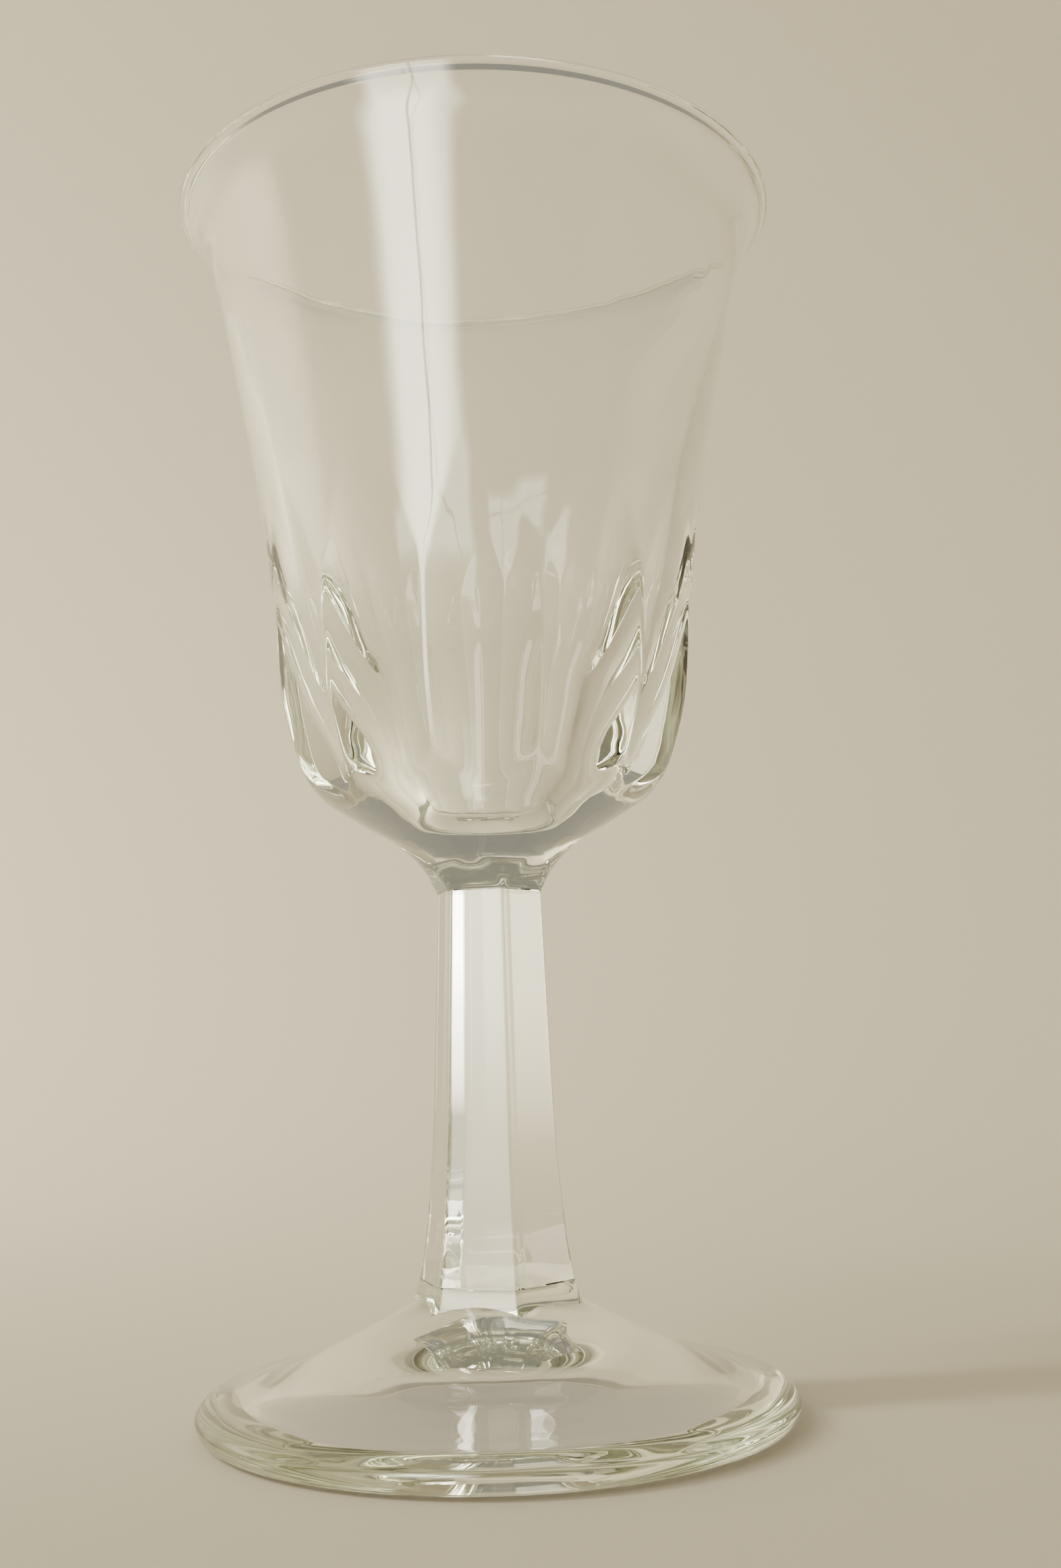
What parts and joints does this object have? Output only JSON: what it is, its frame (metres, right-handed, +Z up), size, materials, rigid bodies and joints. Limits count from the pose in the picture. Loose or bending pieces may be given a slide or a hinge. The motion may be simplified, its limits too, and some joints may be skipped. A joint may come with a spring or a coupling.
{
  "type": "wine glass",
  "caption": "Clear pressed-glass goblet: flared round lip over a panelled lower bowl, six-sided flared stem and a round domed foot, for serving wine or water.",
  "frame": {"origin": "centre of the foot at the height of the surface the glass stands on", "axes": "+Z up along the axis of the glass, from the foot to the rim; -Y towards the middle of one of the bowl's panels"},
  "size_m": [0.081, 0.081, 0.16],
  "materials": {
    "bowl_glass": "clear fire-polished pressed glass with a slight grey-green tint",
    "stem_glass": "clear fire-polished pressed glass with a slight grey-green tint",
    "foot_glass": "clear fire-polished pressed glass with a slight grey-green tint"
  },
  "bodies": {
    "root": {"bowl": "bowl_glass", "stem": "stem_glass", "foot": "foot_glass"}
  },
  "joints": []
}
